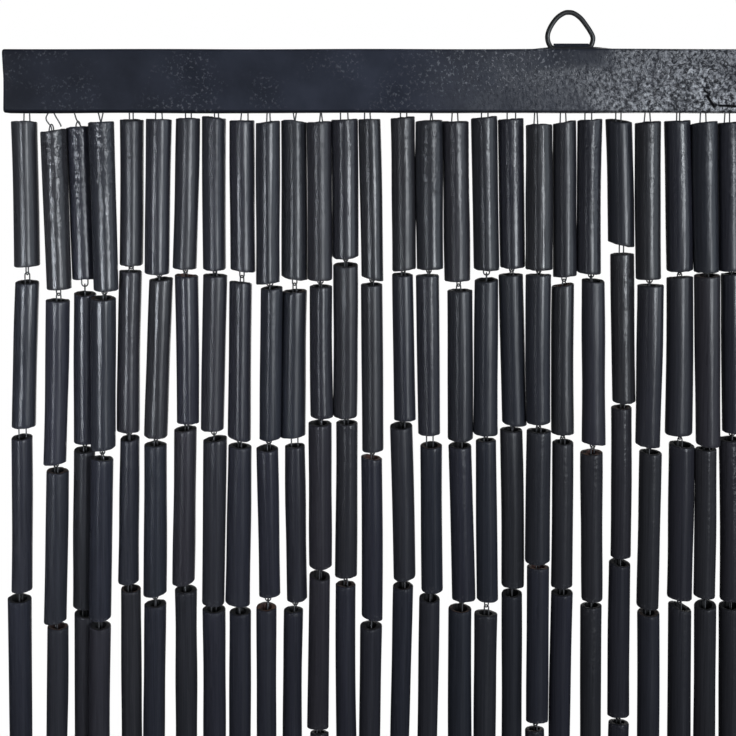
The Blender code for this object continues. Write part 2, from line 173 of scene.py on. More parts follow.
# How slantwise those strands' tubes are cut: how much lower the right-hand side is than the left,
# in millimetres, at the top and foot of the first, second and third tube and the top of the fourth
CUTS = [
    (0, -0.6, -0.4, -1, -0.6, -1, 0),
    (-1, 0, 0, -1.4, 0, -1.3, 0),
    (-0.4, 0, 0, 0, 0, 0.3, 0.6),
    (-0.4, 0, 0, -1.2, 0.4, -0.4, 0),
    (0, 0, 0, 0, -0.4, -0.5, 0),
    (0, 0, -0.8, -0.2, -0.2, -1.3, -0.6),
    (-0.4, 0, 0.6, 0, -1, -1.6, 0),
    (1, 0, 0, -0.5, -1.2, 0, 0),
    (0, 1.2, 0.8, 1.8, 0.2, 1, 0),
    (-1, -1, -0.6, -0.8, 0, -0.6, 0),
    (0.8, 1.4, -0.6, -1, -0.2, -1, -0.2),
    (-0.4, 0, 0, 0.2, 0, 0, 1),
    (-0.4, -0.4, 0, 0, 0, -0.6, 0.2),
    (0, 2, 0, -0.4, 1, 1.8, 0),
    (-0.6, -0.8, 0.3, 0, -0.2, -0.8, -0.2),
    (-0.4, 0, 0, 0, 0, 0, 0.6),
    (0, 0, 0, 0, 0.4, 0.4, 0.4),
    (-0.6, 0.6, -0.3, 0.4, 0, 0.2, 0.4),
    (-0.4, 0, 0, 1.4, 0.4, 1, 0),
    (0, 0.4, 0, 0, 0.2, -0.4, 0.4),
    (-1.3, -0.4, -1, 0.2, 0, 0, 0),
    (-0.4, 0.8, 1, 1.3, 0, 0, 0),
    (1.1, 2.3, 0, 0.4, 0, 0, 1),
    (-0.6, 0, 0, 1.3, 0.6, 1, 0.2),
    (0, 0, -0.4, 0, 1, 1, 2.6),
    (-0.6, 0, 0, 1.2, 0, 1, 0),
    (-0.4, 0, 0, 0.8, 0, 0, 0),
]

# How far each row's cuts are tipped, so that the front edge is lower, as slopes at the top and foot
TIPPED = ((0.0, 0.08), (0.08, 0.13), (0.13, 0.17), (0.19, 0.0))

# The wires from the rail to the first tubes, in millimetres from the rail's end: where the left
# leg leaves the rail and meets the tube, then the right leg
ROOTS = {
    0: (9.7, 9.2, 11.8, 12), 3: (39.4, 42, 42, 39.4), 4: (51.6, 51.6, 53.1, 53.1),
    5: (62.4, 61.8, 64.7, 65.2), 6: (74.2, 74.2, 76.5, 76.5), 7: (85.8, 85.8, 87.4, 87.4),
    8: (96.8, 95.6, 99.2, 99.2), 9: (107, 106.5, 108, 108.4), 10: (117, 118.7, 118.7, 117),
    11: (128.4, 127.2, 128.4, 129.8), 12: (136.2, 136.2, 139, 139.6),
    13: (145.9, 145.6, 147.9, 148.6), 14: (160.2, 160.2, 162.7, 162.7),
    15: (172.5, 171.6, 172.5, 173.8), 16: (181, 180.4, 183, 183.6),
    17: (192.6, 192.6, 195.2, 195.2), 18: (203, 203, 206.4, 206.4),
    19: (213.8, 213.2, 214.6, 215.4), 20: (224.2, 224, 226.2, 226.8),
    21: (234, 234, 236.7, 236.7), 22: (246.5, 246.5, 248.6, 248.6),
    23: (258, 257, 259.6, 260.6), 24: (270.8, 270.8, 272, 272),
    25: (280, 279.7, 282, 282.6), 26: (290.5, 289.9, 292.2, 292.5),
}

# The loose curls of wire over the second and third strands, as millimetres across and down
CURLS = {
    1: (
        ((19.6, 0), (18.7, 1.6), (18.8, 3), (19.8, 4.4), (20.6, 5.6), (21.2, 9)),
        ((19.7, 9), (19.8, 6.6), (20.3, 4.9), (20.9, 4.6), (21.5, 5.8), (21.7, 9)),
        ((21.6, -0.5), (22.4, 1.2), (23.2, 2.6), (24, 4), (24.5, 5), (24.4, 5.4)),
    ),
    2: (
        ((29.2, -0.5), (29.7, 1.4), (30.2, 2.8), (31, 4), (31.8, 5.4), (32, 8)),
        ((29.7, 8), (29.8, 5.2), (30.2, 3.8), (30.7, 3.2), (31.3, 3.9), (31.6, 5.2)),
    ),
}

# Joints where two straight wires show side by side, as (strand, upper row): millimetres across
LEGS = {(0, 1): (7.6, 10.5), (10, 1): (116.5, 119.1), (15, 1): (170.6, 173.2), (22, 0): (247.9, 249.6)}

# Tubes with knobbly paint near the top, and with raw bamboo at the cut, as (strand, row) from 0
KNOBBLY = {
    (1, 0): 1.0, (2, 0): 1.0, (3, 0): 0.9, (4, 0): 0.25, (6, 0): 0.2, (7, 0): 0.6, (8, 0): 0.2,
    (10, 0): 0.3, (11, 0): 0.5, (12, 0): 0.45, (13, 0): 0.25, (14, 0): 0.45, (15, 0): 0.75,
    (16, 0): 0.5, (17, 0): 0.4, (18, 0): 0.45, (19, 0): 0.25, (20, 0): 0.25, (21, 0): 0.75,
    (23, 0): 0.45, (24, 0): 0.3, (25, 0): 0.5, (26, 0): 0.6,
    (0, 2): 0.15, (1, 2): 0.22, (2, 2): 0.22, (26, 2): 0.9,
}
BARE = {(13, 2): 1.0, (20, 1): 0.8, (9, 3): 0.7, (12, 3): 0.6}

# Camera: the photograph's eye, a little below the rail and well to the left
EYE_ACROSS = 147.2 * MM
EYE_BELOW_RAIL = 14.8 * MM
EYE_DISTANCE = 720 * MM
EYE_TILT = math.radians(6.965)
LENS = 87.17
SENSOR = 36.0


# Where the strands hang

def ordinary_strand(dice, place):
    """A strand beyond the table: its tubes stray a little to each side of its own line."""
    line = place / MM
    across = []
    drops = []
    widths = []
    drop = FIRST_DROP / MM + dice.uniform(*FIRST_DROPS)
    sway = dice.uniform(*ROOT_SWAY)
    for row in range(ROWS):
        across.append(line + sway)
        drops.append(drop)
        sway = dice.uniform(*SWAY)
        drop += TUBE_LENGTHS[row] / MM + dice.uniform(*LENGTHS)
        across.append(line + sway)
        drops.append(drop)
        drop += LOOSE_STEP / MM + dice.uniform(*STEPS)
        sway += dice.uniform(*STEP_SWAY)
        widths.append(TUBE_WIDTHS[row] / MM + dice.uniform(*WIDTHS))
    return tuple(across), tuple(drops[:-1]), tuple(widths)


def hang(across, drop):
    """Where a point of a strand comes to hang: x, z, and how much wider things are there."""
    splay = 1.0 / (1.0 - SPLAY * drop)
    reach = across - SPLAY_LINE
    if reach > SPLAY_HALF:
        reach = max(0.0, SPLAY_HALF - (reach - SPLAY_HALF) * SPLAY_FADE)
    x = -CURTAIN_WIDTH / 2 + across + reach * (splay - 1.0)
    z = RAIL_BOTTOM - FIRST_LENGTHS * drop * splay
    return x, z, splay


def tube_between(top, foot, radius):
    """One tube, its top and foot as x and z, and how far it is pushed out of the middle plane."""
    return {"top": top, "foot": foot, "radius": radius, "push": 0.0}


def strand_tubes(across, drops, widths):
    """The first tubes of one strand, from the top down."""
    feet = drops + (drops[-1] + TUBE_LENGTHS[-1] / MM,)
    tubes = []
    for row, width in enumerate(widths):
        top_x, top_z, _ = hang(across[2 * row] * MM, feet[2 * row] * MM)
        foot_x, foot_z, wider = hang(across[2 * row + 1] * MM, feet[2 * row + 1] * MM)
        tubes.append(tube_between((top_x, top_z), (foot_x, foot_z), width * MM * wider / 2))
    return tubes


def lower_tubes(strand, dice):
    """The tubes from the fifth one down to the strand's ragged end."""
    start_x, start_z = strand["tubes"][-1]["foot"]
    steps = [LOOSE_STEP + dice.uniform(*LOWER_STEPS) * MM for _ in range(LOWER_ROWS)]
    lengths = [dice.uniform(*LOWER_LENGTHS) for _ in range(LOWER_ROWS)]
    room = start_z - strand["end"] - sum(steps)
    unit = room / sum(lengths)
    z = start_z
    tubes = []
    for row, (step, length) in enumerate(zip(steps, lengths)):
        fade = max(0.0, 1.0 - (row + 1) / STRAIGHTEN_ROWS)
        middle = strand["line"] + (start_x - strand["line"]) * fade
        top = (middle + dice.uniform(*SWAY) * MM, z - step)
        z = top[1] - length * unit
        foot = (middle + dice.uniform(*SWAY) * MM, z)
        tubes.append(tube_between(top, foot, (LOWER_WIDTH + dice.uniform(*WIDTHS) * MM) / 2))
    return tubes


def across_at(tube, z):
    """The tube's middle at height z."""
    share = (tube["top"][1] - z) / (tube["top"][1] - tube["foot"][1])
    return tube["top"][0] + (tube["foot"][0] - tube["top"][0]) * share


def crowding(tube, other):
    """How far apart in depth two tubes of neighbouring strands have to hang."""
    high = min(tube["top"][1], other["top"][1])
    low = max(tube["foot"][1], other["foot"][1])
    if low >= high:
        return 0.0
    apart = tube["radius"] + other["radius"] + GAP
    nearest = min(abs(across_at(other, z) - across_at(tube, z)) for z in (low, high))
    return math.sqrt(max(0.0, apart ** 2 - nearest ** 2))


def push_apart(left, right, needed):
    """Let two neighbours each give way by half of the depth that they need between them."""
    for thing in (left, right):
        thing["push"] = max(thing["push"], needed / 2)


def lay_out_strands():
    """Every strand's tubes, with a depth that keeps crowded neighbours apart, in turn front and back."""
    dice = random.Random(SEED)
    lower_dice = random.Random(SEED + 1)
    strands = []
    for index in range(STRANDS):
        place = FIRST_PLACE + index * PITCH
        ordinary = ordinary_strand(dice, place)
        own = OWN_WAY[index] if index < len(OWN_WAY) else ordinary
        strands.append({
            "tubes": strand_tubes(*own),
            "index": index,
            "line": -CURTAIN_WIDTH / 2 + place,
            "end": -CURTAIN_DROP + dice.uniform(0.0, RAGGED_ENDS),
            "push": 0.0,
        })
    for left, right in zip(strands, strands[1:]):
        push_apart(left, right, max(crowding(a, b) for a in left["tubes"] for b in right["tubes"]))
    for strand in strands:
        for tube in strand["tubes"]:
            tube["push"] = strand["push"]
        strand["tubes"] += lower_tubes(strand, lower_dice)
    for left, right in zip(strands, strands[1:]):
        for row in range(ROWS, ROWS + LOWER_ROWS):
            tube = left["tubes"][row]
            for other in right["tubes"][max(ROWS, row - 1):row + 2]:
                push_apart(tube, other, crowding(tube, other))
    for strand in strands:
        side = 1.0 if strand["index"] % 2 == 0 else -1.0
        for tube in strand["tubes"]:
            tube["depth"] = STRAND_PLANE + side * tube["push"]
    return strands


# Meshes from arrays

def place_object(name, data):
    """A new object in the scene around a mesh, a lamp or a camera."""
    thing = bpy.data.objects.new(name, data)
    bpy.context.scene.collection.objects.link(thing)
    return thing


def mesh_object(name, points, quads, materials, slots=None, marks=None):
    """An object from corner points, four-cornered faces, and marks kept on its points."""
    mesh = bpy.data.meshes.new(name)
    mesh.from_pydata(points, [], quads)
    for material in materials:
        mesh.materials.append(material)
    if slots is not None:
        mesh.polygons.foreach_set("material_index", np.ascontiguousarray(slots, np.int32))
    if marks is not None:
        kept = mesh.color_attributes.new("marks", "FLOAT_COLOR", "POINT")
        kept.data.foreach_set("color", np.ascontiguousarray(marks, np.float32).ravel())
    return place_object(name, mesh)


def ring_quads(rings, sides, closed):
    """Faces between rings of points, round each ring, and from the last ring to the first if closed."""
    ring = np.arange(rings if closed else rings - 1)[:, None]
    side = np.arange(sides)[None, :]
    below = (ring + 1) % rings
    beside = (side + 1) % sides
    corners = [ring * sides + side, below * sides + side, below * sides + beside, ring * sides + beside]
    return np.stack([c.ravel() for c in np.broadcast_arrays(*corners)], axis=1)


def repeat_quads(quads, points_each, count):
    """The same faces for each of many alike shapes."""
    shifts = (np.arange(count) * points_each)[:, None, None]
    return (quads[None] + shifts).reshape(-1, 4)


# Bamboo tubes

# How much wider the skin is than the solids' bars, and how wide the bores are as shares of it
SKIN_OVER = 1.04
BORE_SHARE = 0.57
BORE_SPREAD = 0.06
BORE_LIMITS = (0.42, 0.68)

# Half a tube's closed section, from the skin over the cut into the bore: each ring's distance from
# the tube's end, and how far in it is from the skin, or for the bore how far out, in millimetres
CLOSE_SECTION = (
    ("skin", 1.6, 0), ("skin", 0.45, 0), ("skin", 0.12, 0.09), ("skin", 0, 0.32), ("bore", 0, 0.10),
    ("bore", 0.4, 0),
)
FAR_SECTION = (("skin", 0.35, 0), ("skin", 0, 0.35), ("bore", 0, 0))

# The fine meshes for what the camera sees well, and the plain ones: the start of their names, the
# wires' sides, a seed, and the tubes' section, sides and extra rings in the wall
MESHES = (
    (True, "upper_", 8, SEED, CLOSE_SECTION, 32, 7),
    (False, "", 3, SEED + 10, FAR_SECTION, 12, 0),
)

# How many steps the wires' bends and the legs from the rail have
CLOSE_BENDS = 8
FAR_BENDS = 3
ROOT_STEPS = 6

# How uneven the tubes are: lobes round them with their sizes, taper and swelling, all as shares of
# the radius, and how far they bow
OUT_OF_ROUND = ((2, 0.022), (3, 0.013), (5, 0.006))
TAPER = 0.016
SWELL = 0.008
BOW = 0.12 * MM

# The saw's marks: slopes of the cuts, and how ragged the rings nearest to the ends are
SLANT = 0.07
MOST_SLANT = 0.2
TIP_SPREAD = 0.05
FOOT_SUNK = 0.7
SAWN = 0.10 * MM
SAWN_PLACE = 1.0

# Edges that turn by more than this are drawn sharp
TUBE_CREASE = math.radians(48)
RAIL_CREASE = math.radians(50)


def out_of_round(dice, count, angle):
    """How far out each tube's skin lies all the way round, as shares of its radius."""
    oval = 1.0
    for lobes, size in OUT_OF_ROUND:
        turn = dice.uniform(0, 2 * math.pi, count)[:, None]
        much = dice.normal(0.0, size, count)[:, None]
        oval = oval + much * np.cos(lobes * (angle[None] - turn))
    return oval


def end_cuts(dice, tubes, angle):
    """How far inside its length each tube is cut at its top and foot, as shares of its radius."""
    count = len(tubes)
    slant = np.clip(dice.normal(0.0, SLANT, (count, 2)), -MOST_SLANT, MOST_SLANT)
    turn = dice.uniform(0, 2 * math.pi, (count, 2))
    sunk = np.abs(slant)
    tipped = np.zeros((count, 2))
    for number, tube in enumerate(tubes):
        if "cuts" in tube:
            slant[number] = np.array((1.0, -1.0)) * tube["cuts"] * MM / (2 * tube["radius"])
            turn[number] = 0.0
            tipped[number] = np.array(tube["tipped"]) + dice.normal(0.0, TIP_SPREAD, 2)
            sunk[number] = (abs(tipped[number, 0]), FOOT_SUNK * tipped[number, 1])
    sideways = slant[..., None] * np.cos(angle - turn[..., None])
    forward = (tipped * (-1.0, 1.0))[..., None] * np.sin(angle)
    return sideways + forward + sunk[..., None]


def paint_marks(dice, tubes):
    """Each tube's own tint, how knobbly its paint is, and how much raw bamboo its cuts show."""
    tint = dice.uniform(0, 1, len(tubes))
    knobs = np.array([tube["knobs"] for tube in tubes])
    knobs = np.where(knobs > 0, knobs, 0.6 * dice.uniform(0, 1, len(tubes)) ** 4)
    bare = np.array([tube["bare"] for tube in tubes])
    bare = np.where(bare > 0, bare, dice.uniform(0, 1, len(tubes)) ** 6)
    return tint, knobs, bare


def tube_rings(section, wall_rings):
    """A whole section's rings, from the top round to the foot (ends 0 and 1) and up the wall (2)."""
    halves = ((0, section), (1, reversed(section)))
    rings = [(kind, end, place, inset) for end, half in halves for kind, place, inset in half]
    return rings + [("skin", 2, k / (wall_rings + 1), 0) for k in range(wall_rings, 0, -1)]


def ring_slots(rings):
    """The material of the faces below each ring: 0 for skin, 1 for a cut, and 2 for the bore."""
    kinds = [ring[0] for ring in rings]
    slots = []
    for kind, following in zip(kinds, kinds[1:] + kinds[:1]):
        slots.append(1 if kind != following else 0 if kind == "skin" else 2)
    return slots


def tube_frames(tubes):
    """Where each tube starts, how long it is, and which way its down, sideways and forward point."""
    top, foot = (np.array([(t[end][0], t["depth"], t[end][1]) for t in tubes]) for end in ("top", "foot"))
    down = foot - top
    length = np.linalg.norm(down, axis=1)[:, None]
    down /= length
    sideways = np.cross(down, (0.0, 1.0, 0.0))
    sideways /= np.linalg.norm(sideways, axis=1)[:, None]
    return top, length, down, sideways, np.cross(sideways, down)


def tube_strays(dice, tubes, radius, angle):
    """How each tube strays from a plain pipe."""
    count = len(tubes)
    strays = {
        "oval": out_of_round(dice, count, angle),
        "taper": dice.normal(0.0, TAPER, count)[:, None],
        "bow": dice.normal(0.0, BOW, (count, 2)),
        "bore": radius * np.clip(dice.normal(BORE_SHARE, BORE_SPREAD, count), *BORE_LIMITS)[:, None],
        "cuts": end_cuts(dice, tubes, angle),
    }
    sawn = dice.normal(0.0, SAWN, (count, 2, len(angle)))
    strays["sawn"] = (sawn + np.roll(sawn, 1, axis=2)) / 2
    strays["swell"] = dice.normal(0.0, SWELL, (count, 3))
    return strays


def ring_share(ring, strays, radius, length):
    """How far down its tube each point of a ring lies, as a share of the tube's length."""
    _, end, place, _ = ring
    if end == 2:
        return np.full(strays["oval"].shape, place)
    near = place * MM + strays["cuts"][:, end] * radius + strays["sawn"][:, end] * (place < SAWN_PLACE)
    return near / length if end == 0 else 1.0 - near / length


def ring_reach(ring, strays, radius, share, phase):
    """How far from its tube's middle line each point of a ring lies."""
    kind, _, _, inset = ring
    oval = strays["oval"]
    if kind == "bore":
        return strays["bore"] * (0.5 + 0.5 * oval) + inset * MM
    swell = strays["swell"]
    wave = sum(swell[:, k, None] * np.sin((k + 1) * math.pi * share + phase) for k in range(3))
    return radius * oval * (1.0 + strays["taper"] * (1 - 2 * share) + wave) - inset * MM


def tube_arrays(tubes, section, sides, wall_rings, seed):
    """Points, faces, face slots and marks of many hollow tubes, each a closed section turned round."""
    dice = np.random.RandomState(seed)
    count = len(tubes)
    top, length, down, sideways, forward = tube_frames(tubes)
    radius = np.array([t["radius"] for t in tubes])[:, None] * SKIN_OVER
    angle = np.arange(sides) * 2 * math.pi / sides
    strays = tube_strays(dice, tubes, radius, angle)
    tint, knobs, bare = (mark[:, None] for mark in paint_marks(dice, tubes))
    bow = strays["bow"]

    rings = tube_rings(section, wall_rings)
    points = np.zeros((count, len(rings), sides, 3))
    marks = np.zeros((count, len(rings), sides, 4))
    for number, ring in enumerate(rings):
        share = ring_share(ring, strays, radius, length)
        reach = ring_reach(ring, strays, radius, share, tint * 6)
        bend = np.sin(math.pi * share)
        right = reach * np.cos(angle) + bow[:, :1] * bend
        out = reach * np.sin(angle) + bow[:, 1:] * bend
        points[:, number] = (
            top[:, None] + down[:, None] * (share * length)[..., None]
            + sideways[:, None] * right[..., None] + forward[:, None] * out[..., None]
        )
        for channel, value in enumerate((tint, share, knobs, bare)):
            marks[:, number, :, channel] = value

    faces = ring_quads(len(rings), sides, True)
    slots = np.repeat(ring_slots(rings), sides)
    return (
        points.reshape(-1, 3), repeat_quads(faces, len(rings) * sides, count),
        np.tile(slots, count), marks.reshape(-1, 4),
    )


def add_tubes(name, tubes, section, sides, wall_rings, seed, materials):
    points, quads, slots, marks = tube_arrays(tubes, section, sides, wall_rings, seed)
    thing = mesh_object(name, points, quads, materials, slots, marks)
    thing.data.shade_smooth()
    thing.data.set_sharp_from_angle(angle=TUBE_CREASE)
    return thing


# Wires

def sweep(routes, radius, sides):
    """Points and faces of round wires along routes that all have the same number of points."""
    route = np.array(routes)
    count, steps = route.shape[:2]
    ahead = np.gradient(route, axis=1)
    ahead /= np.maximum(np.linalg.norm(ahead, axis=2, keepdims=True), 1e-9)
    level = np.cross(ahead, np.broadcast_to((0.0, 1.0, 0.02), ahead.shape))
    level /= np.maximum(np.linalg.norm(level, axis=2, keepdims=True), 1e-9)
    across = np.cross(ahead, level)
    angle = np.arange(sides) * 2 * math.pi / sides
    circle = (
        level[:, :, None] * np.cos(angle)[None, None, :, None]
        + across[:, :, None] * np.sin(angle)[None, None, :, None]
    )
    points = route[:, :, None] + circle * radius
    quads = ring_quads(steps, sides, False)
    return points.reshape(-1, 3), repeat_quads(quads, steps * sides, count)


def hairpin(x, y, z_in, z_turn, half_width, turn, steps):
    """A wire that comes out of a tube, turns back at z_turn and goes in again."""
    points = []
    rise = 1.0 if z_in > z_turn else -1.0
    bend = min(half_width, abs(z_in - z_turn) * 0.5)
    for step in range(steps + 1):
        a = math.pi * step / steps
        along = -math.cos(a) * half_width
        height = z_turn + rise * bend * (1.0 - math.sin(a))
        points.append((along, height))
    points = [(-half_width, z_in)] + points + [(half_width, z_in)]
    return [(x + p * math.cos(turn), y + p * math.sin(turn), z) for p, z in points]


WIRE_RADIUS = 0.28 * MM
WIRE_REACH = 6 * MM
WIRE_IN_RAIL = 1.5 * MM
LINK_OVERLAP = 0.45 * MM

# Half the hairpins' width, how much wider or narrower they and the legs are, and how they turn and lean
HAIRPIN_HALF = 1.15 * MM
HAIRPIN_SPREAD = (0.8, 1.15)
LEG_SPREAD = (0.95, 1.3)
HAIRPIN_TURN = (-0.9, 0.9)
LEG_LEAN = (-0.5, 0.5)


def joint_wires(strand, row, dice, steps):
    """The linked hairpins between one tube and the next."""
    upper = strand["tubes"][row]
    lower = strand["tubes"][row + 1]
    x = (upper["foot"][0] + lower["top"][0]) / 2
    y = (upper["depth"] + lower["depth"]) / 2
    z = (upper["foot"][1] + lower["top"][1]) / 2
    turn = dice.uniform(*HAIRPIN_TURN)
    first = hairpin(x, y, upper["foot"][1] + WIRE_REACH, z - LINK_OVERLAP,
                    HAIRPIN_HALF * dice.uniform(*HAIRPIN_SPREAD), turn, steps)
    second = hairpin(x, y, lower["top"][1] - WIRE_REACH, z + LINK_OVERLAP,
                     HAIRPIN_HALF * dice.uniform(*HAIRPIN_SPREAD), turn + math.pi / 2, steps)
    return [first, second]


def leg(start, stop, y, steps):
    """A nearly straight wire between two points, each as x and z."""
    points = []
    for step in range(steps + 3):
        share = step / (steps + 2)
        points.append((start[0] + (stop[0] - start[0]) * share, y, start[1] + (stop[1] - start[1]) * share))
    return points


def root_wires(strand, dice, steps):
    """The two legs of wire that hang a strand's first tube from the rail."""
    first = strand["tubes"][0]
    x, z = first["top"]
    half = HAIRPIN_HALF * dice.uniform(*LEG_SPREAD)
    lean = dice.uniform(*LEG_LEAN) * MM
    ends = [(x + side * half + lean, x + side * half) for side in (-1.0, 1.0)]
    if strand["index"] in ROOTS:
        left = -CURTAIN_WIDTH / 2
        at = [left + across * MM for across in ROOTS[strand["index"]]]
        ends = [(at[0], at[1]), (at[2], at[3])]
    high = RAIL_BOTTOM + WIRE_IN_RAIL
    return [leg((high_x, high), (low_x, z - WIRE_REACH), first["depth"], steps) for high_x, low_x in ends]


def curl_wires(strand):
    """The loose curls over a strand's first tube, smooth through their measured points."""
    routes = []
    for points in CURLS[strand["index"]]:
        ends = [points[0], *points, points[-1]]
        route = smooth([ends[start:start + 4] for start in range(len(ends) - 3)], 4)
        routes.append([
            (-CURTAIN_WIDTH / 2 + across * MM, strand["tubes"][0]["depth"], RAIL_BOTTOM - drop * MM)
            for across, drop in route + [points[-1]]
        ])
    return routes


def blend(four, share, k):
    """One coordinate of the smooth curve between the second and third of four points."""
    a, b, c, d = (point[k] for point in four)
    return 0.5 * (2 * b + (c - a) * share + (2 * a - 5 * b + 4 * c - d) * share ** 2
                  + (3 * b - a - 3 * c + d) * share ** 3)


def smooth(fours, steps):
    """Steps along the smooth curve between the middle two of each four points."""
    return [tuple(blend(four, step / steps, k) for k in (0, 1)) for four in fours for step in range(steps)]


def two_legs(strand, row, across, steps):
    """Two straight wires between one tube and the next."""
    upper = strand["tubes"][row]
    lower = strand["tubes"][row + 1]
    y = (upper["depth"] + lower["depth"]) / 2
    high = upper["foot"][1] + WIRE_REACH
    low = lower["top"][1] - WIRE_REACH
    drop = (RAIL_BOTTOM - (high + low) / 2)
    places = [hang(place * MM, drop)[0] for place in across]
    return [leg((x, high), (x, low), y, steps) for x in places]


def add_wires(name, routes, sides, material):
    by_size = {}
    for route in routes:
        by_size.setdefault(len(route), []).append(route)
    all_points = []
    all_quads = []
    start = 0
    for size in sorted(by_size):
        points, quads = sweep(by_size[size], WIRE_RADIUS, sides)
        all_points.append(points)
        all_quads.append(quads + start)
        start += len(points)
    thing = mesh_object(name, np.concatenate(all_points), np.concatenate(all_quads), [material])
    thing.data.shade_smooth()
    return thing


# Rail

def rounded_section(width, height, edge, steps):
    """Corners of a rectangle with round edges, in order round it."""
    corners = []
    for number, (sx, sz) in enumerate(((1, 1), (-1, 1), (-1, -1), (1, -1))):
        for step in range(steps + 1):
            a = math.pi / 2 * (number + step / steps)
            corners.append((
                sx * (width / 2 - edge) + edge * math.cos(a),
                sz * (height / 2 - edge) + edge * math.sin(a),
            ))
    return corners


def section_sides(corners, most):
    """Extra points on the long sides, so that the surface can be uneven."""
    filled = []
    for (ax, az), (bx, bz) in zip(corners, corners[1:] + corners[:1]):
        pieces = max(1, round(math.hypot(bx - ax, bz - az) / most))
        for piece in range(pieces):
            share = piece / pieces
            filled.append((ax + (bx - ax) * share, az + (bz - az) * share))
    return filled


RAIL_EDGE = 1.0 * MM
RAIL_LENGTH = CURTAIN_WIDTH - 5.4 * MM
RAIL_STEP = 3.0 * MM

# How far from the rail's middle its paint is at its thinnest and at its thickest
THIN_PAINT = 290 * MM
THICK_PAINT = 165 * MM

# Chips in the rail's thick paint: from where to where on its front, as x and z, and half their width
CHIPS = (
    ((-0.1692, RAIL_BOTTOM + 7.6 * MM), (-0.1648, RAIL_BOTTOM + 1.2 * MM), 0.75 * MM),
    ((-0.1648, RAIL_BOTTOM + 2.9 * MM), (-0.1556, RAIL_BOTTOM + 2.4 * MM), 0.6 * MM),
    ((-0.1700, RAIL_BOTTOM + 9.0 * MM), (-0.1672, RAIL_BOTTOM + 7.0 * MM), 0.5 * MM),
)

# The rail's blue-greys, each with its place among them, and the colours laid over them
RAIL_COLOURS = [(0.33, (0.0100, 0.0115, 0.0175)), (0.67, (0.0172, 0.0196, 0.0288))]
THICK_COLOUR = (0.0375, 0.0390, 0.0475)
# Pale, for the flecks that are painted glints and for faint scuffs
GLINT_AND_SCUFF_COLOUR = (0.66, 0.67, 0.71)
# Nearly black, for the dents and for painted shade along the lower edge
DENT_AND_SHADE_COLOUR = (0.0035, 0.0035, 0.0045)

# How the rail's looks change outwards from its middle, as (metres, value)
# How much of the pale flecks' painted glint shows
GLINTS_BY_PLACE = [(0.15, 1.25), (0.185, 1.1), (0.215, 0.6), (0.24, 0.5)]
SCUFFS_BY_PLACE = [(0.215, 0.0), (0.235, 1.7), (0.275, 1.0), (0.295, 0.0)]
RAIL_BY_PLACE = [(0.20, 1.6), (0.28, 1.9), (0.36, 1.35), (0.438, 0.95), (0.45, 0.7)]

# The swelling over each strap, full as far as the inner distance from it, and the flare at the ends
SWELL_HEIGHT = 1.2 * MM
SWELL_INNER = 9 * MM
SWELL_OUTER = 20 * MM
RAIL_END_FLARE = 0.4 * MM
FLARE_REACH = 20 * MM

# The waves that make the rail uneven: how many, the rate, start and height that each may have, and
# how much of them shows. The top face starts at this share of the half height.
RAIL_WAVES = 9
WAVE_RATES = (4, 40)
WAVE_STARTS = (0, 6.3)
WAVE_HEIGHTS = (0.03 * MM, 0.10 * MM)
WAVE_SHARE = 0.6
TOP_FACE = 0.9


def rail_stations():
    """Where along the rail its sections stand, and how much narrower each is, for the round ends."""
    turns = [math.radians(turn) for turn in (30, 60, 90)]
    end = [(RAIL_EDGE * (1 - math.sin(turn)), RAIL_EDGE * (1 - math.cos(turn))) for turn in turns]
    reach = RAIL_LENGTH / 2
    stations = [(far - reach, less) for far, less in reversed(end)]
    straight = reach - RAIL_EDGE
    stations += [(x, 0.0) for x in np.linspace(-straight, straight, int(RAIL_LENGTH / RAIL_STEP))]
    return stations + [(reach - far, less) for far, less in end]


def rail_section(x, less, corners, waves):
    """One section's points: uneven above and below, swollen by the straps and flared at the ends."""
    rise = sum(height * math.sin(x * rate * 2 + start) for rate, start, height in waves)
    sink = sum(height * math.cos(x * rate * 3 + start) for rate, start, height in waves)
    near = abs(abs(x) - RING_X)
    swell = SWELL_HEIGHT * min(1.0, max(0.0, (SWELL_OUTER - near) / (SWELL_OUTER - SWELL_INNER)))
    flare = RAIL_END_FLARE * max(0.0, (abs(x) - RAIL_LENGTH / 2 + FLARE_REACH) / FLARE_REACH)
    points = []
    for y, z in corners:
        up = z / (RAIL_HEIGHT / 2)
        high = z * (1 - less / (RAIL_HEIGHT / 2)) + (rise if up > 0 else -sink) * abs(up) * WAVE_SHARE
        if up > TOP_FACE:
            high += swell * min(1.0, max(0.0, (y + RAIL_DEPTH / 4) / (RAIL_DEPTH / 2)))
        points.append((
            x + math.copysign(flare * up, x),
            (RAIL_FRONT + RAIL_BACK) / 2 + y * (1 - less / (RAIL_DEPTH / 2)),
            RAIL_TOP - RAIL_HEIGHT / 2 + high,
        ))
    return points


def add_rail(material):
    """The flat bar, a little uneven, which swells at the top where each strap goes over its back."""
    dice = np.random.RandomState(SEED)
    corners = section_sides(rounded_section(RAIL_DEPTH, RAIL_HEIGHT, RAIL_EDGE, 4), 2.4 * MM)
    spreads = (WAVE_RATES, WAVE_STARTS, WAVE_HEIGHTS)
    waves = [[dice.uniform(*spread) for spread in spreads] for _ in range(RAIL_WAVES)]
    stations = rail_stations()
    points = [rail_section(x, less, corners, waves) for x, less in stations]
    quads = ring_quads(len(stations), len(corners), False)
    rail = mesh_object("rail", np.array(points).reshape(-1, 3), quads, [material])
    cap_rail(rail, len(corners), len(stations))
    rail.data.shade_smooth()
    rail.data.set_sharp_from_angle(angle=RAIL_CREASE)
    return rail


def cap_rail(rail, sides, rings):
    """Close the two ends of the bar."""
    bm = bmesh.new()
    bm.from_mesh(rail.data)
    bm.verts.ensure_lookup_table()
    bm.faces.new([bm.verts[k] for k in range(sides)])
    bm.faces.new([bm.verts[(rings - 1) * sides + k] for k in reversed(range(sides))])
    bmesh.ops.recalc_face_normals(bm, faces=bm.faces)
    bm.to_mesh(rail.data)
    bm.free()


# Rings and straps

